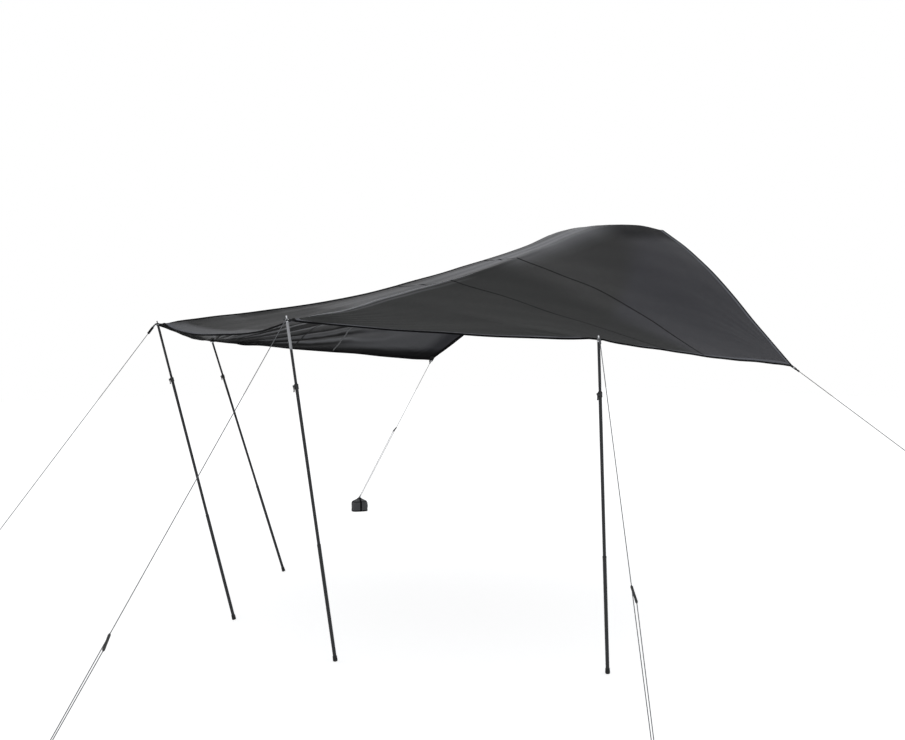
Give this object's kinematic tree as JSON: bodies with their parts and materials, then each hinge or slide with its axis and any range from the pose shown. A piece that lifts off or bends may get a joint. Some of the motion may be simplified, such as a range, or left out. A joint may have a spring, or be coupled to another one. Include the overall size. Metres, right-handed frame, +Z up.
{
  "type": "vehicle side awning",
  "caption": "Free-standing dark fabric awning with a raised ridge, on leaning telescopic poles, held by guy lines with sliders to weight bags.",
  "frame": {"origin": "on the ground, below the middle of the awning without its guy lines", "axes": "+X to the near side, across the awning; +Y along the ridge toward the roof tent it joins; +Z up"},
  "size_m": [8.0201, 5.4539, 2.7441],
  "materials": {
    "canopy_cloth": "coated woven polyester, satin",
    "webbing": "woven webbing, matte",
    "pole_tube": "black anodised, satin",
    "bright_tube": "grey anodised, satin",
    "foot_rubber": "matte",
    "moulded_plastic": "fine grain",
    "steel": "bright",
    "cord": "braided cord",
    "bag_cloth": "heavy woven cloth, matte"
  },
  "bodies": {
    "awning": {"canopy": "canopy_cloth", "corner_tab_outer_near": "webbing", "pole_outer_near_upper_tube": "bright_tube", "pole_outer_near_pin": "steel", "guy_line_outer_near": "cord", "weight_ring_outer_near": "steel", "weight_bag_outer_near": "bag_cloth", "corner_tab_middle_near": "webbing", "pole_middle_near_upper_tube": "bright_tube", "pole_middle_near_pin": "steel", "guy_line_middle_near": "cord", "weight_ring_middle_near": "steel", "weight_bag_middle_near": "bag_cloth", "corner_tab_inner_near": "webbing", "guy_line_inner_near": "cord", "weight_ring_inner_near": "steel", "weight_bag_inner_near": "bag_cloth", "tent_strap_near": "webbing", "corner_tab_outer_far": "webbing", "pole_outer_far_upper_tube": "bright_tube", "pole_outer_far_pin": "steel", "guy_line_outer_far": "cord", "weight_ring_outer_far": "steel", "weight_bag_outer_far": "bag_cloth", "corner_tab_middle_far": "webbing", "pole_middle_far_upper_tube": "bright_tube", "pole_middle_far_pin": "steel", "corner_tab_inner_far": "webbing", "guy_line_inner_far": "cord", "weight_ring_inner_far": "steel", "weight_bag_inner_far": "bag_cloth", "tent_strap_far": "webbing"},
    "pole_outer_near_lower": {"pole_outer_near_foot": "foot_rubber", "pole_outer_near_lower_tube": "pole_tube"},
    "pole_outer_near_section": {"pole_outer_near_middle_tube": "pole_tube", "pole_outer_near_lock_collar": "moulded_plastic"},
    "pole_outer_near_lock_lever": {"pole_outer_near_lock_lever": "moulded_plastic"},
    "slider_outer_near": {"slider_outer_near": "moulded_plastic"},
    "pole_middle_near_lower": {"pole_middle_near_foot": "foot_rubber", "pole_middle_near_lower_tube": "pole_tube"},
    "pole_middle_near_section": {"pole_middle_near_middle_tube": "pole_tube", "pole_middle_near_lock_collar": "moulded_plastic"},
    "pole_middle_near_lock_lever": {"pole_middle_near_lock_lever": "moulded_plastic"},
    "slider_middle_near": {"slider_middle_near": "moulded_plastic"},
    "slider_inner_near": {"slider_inner_near": "moulded_plastic"},
    "tent_hook_near": {"tent_hook_near": "steel"},
    "pole_outer_far_lower": {"pole_outer_far_foot": "foot_rubber", "pole_outer_far_lower_tube": "pole_tube"},
    "pole_outer_far_section": {"pole_outer_far_middle_tube": "pole_tube", "pole_outer_far_lock_collar": "moulded_plastic"},
    "pole_outer_far_lock_lever": {"pole_outer_far_lock_lever": "moulded_plastic"},
    "slider_outer_far": {"slider_outer_far": "moulded_plastic"},
    "pole_middle_far_lower": {"pole_middle_far_foot": "foot_rubber", "pole_middle_far_lower_tube": "pole_tube"},
    "pole_middle_far_section": {"pole_middle_far_middle_tube": "pole_tube", "pole_middle_far_lock_collar": "moulded_plastic"},
    "pole_middle_far_lock_lever": {"pole_middle_far_lock_lever": "moulded_plastic"},
    "slider_inner_far": {"slider_inner_far": "moulded_plastic"},
    "tent_hook_far": {"tent_hook_far": "steel"}
  },
  "joints": [
    {"name": "outer_near_upper_slide", "type": "slide", "parent": "awning", "child": "pole_outer_near_section", "axis": [0.102, -0.215, 0.9713], "range_m": [0, 0.25]},
    {"name": "outer_near_lower_slide", "type": "slide", "parent": "pole_outer_near_section", "child": "pole_outer_near_lower", "axis": [0.102, -0.215, 0.9713], "range_m": [0, 0.5]},
    {"name": "outer_near_lock_hinge", "type": "hinge", "parent": "pole_outer_near_section", "child": "pole_outer_near_lock_lever", "pos_m": [0.77875, -1.75586, 1.58987], "axis": [-0.9945, 0, 0.1044], "range_deg": [0, 110]},
    {"name": "outer_far_upper_slide", "type": "slide", "parent": "awning", "child": "pole_outer_far_section", "axis": [-0.102, -0.215, 0.9713], "range_m": [0, 0.25]},
    {"name": "outer_far_lower_slide", "type": "slide", "parent": "pole_outer_far_section", "child": "pole_outer_far_lower", "axis": [-0.102, -0.215, 0.9713], "range_m": [0, 0.5]},
    {"name": "outer_far_lock_hinge", "type": "hinge", "parent": "pole_outer_far_section", "child": "pole_outer_far_lock_lever", "pos_m": [-0.77875, -1.75586, 1.58987], "axis": [-0.9945, 0, -0.1044], "range_deg": [0, 110]},
    {"name": "middle_near_upper_slide", "type": "slide", "parent": "awning", "child": "pole_middle_near_section", "axis": [0.1797, -0.2305, 0.9563], "range_m": [0, 0.25]},
    {"name": "middle_near_lower_slide", "type": "slide", "parent": "pole_middle_near_section", "child": "pole_middle_near_lower", "axis": [0.1797, -0.2305, 0.9563], "range_m": [0, 0.5]},
    {"name": "middle_near_lock_hinge", "type": "hinge", "parent": "pole_middle_near_section", "child": "pole_middle_near_lock_lever", "pos_m": [2.04909, -0.74127, 1.56329], "axis": [-0.9828, 0, 0.1847], "range_deg": [0, 110]},
    {"name": "middle_far_upper_slide", "type": "slide", "parent": "awning", "child": "pole_middle_far_section", "axis": [-0.1797, -0.2305, 0.9563], "range_m": [0, 0.25]},
    {"name": "middle_far_lower_slide", "type": "slide", "parent": "pole_middle_far_section", "child": "pole_middle_far_lower", "axis": [-0.1797, -0.2305, 0.9563], "range_m": [0, 0.5]},
    {"name": "middle_far_lock_hinge", "type": "hinge", "parent": "pole_middle_far_section", "child": "pole_middle_far_lock_lever", "pos_m": [-2.04909, -0.74127, 1.56329], "axis": [-0.9828, 0, -0.1847], "range_deg": [0, 110]},
    {"name": "slider_outer_near_slide", "type": "slide", "parent": "awning", "child": "slider_outer_near", "axis": [-0.2787, 0.6246, 0.7295], "range_m": [0, 0.08]},
    {"name": "slider_middle_near_slide", "type": "slide", "parent": "awning", "child": "slider_middle_near", "axis": [-0.4576, 0.326, 0.8273], "range_m": [0, 0.08]},
    {"name": "slider_inner_near_slide", "type": "slide", "parent": "awning", "child": "slider_inner_near", "axis": [-0.7683, -0.2427, 0.5924], "range_m": [0, 0.08]},
    {"name": "slider_outer_far_slide", "type": "slide", "parent": "awning", "child": "slider_outer_far", "axis": [0.0235, 0.6168, 0.7867], "range_m": [0, 0.08]},
    {"name": "slider_inner_far_slide", "type": "slide", "parent": "awning", "child": "slider_inner_far", "axis": [0.7917, -0.256, 0.5547], "range_m": [0, 0.08]},
    {"name": "tent_hook_near_hinge", "type": "hinge", "parent": "awning", "child": "tent_hook_near", "pos_m": [0.175, 1.71559, 2.6415], "axis": [1, 0, 0], "range_deg": [-40, 40]},
    {"name": "tent_hook_far_hinge", "type": "hinge", "parent": "awning", "child": "tent_hook_far", "pos_m": [-0.175, 1.71559, 2.6415], "axis": [1, 0, 0], "range_deg": [-40, 40]}
  ]
}
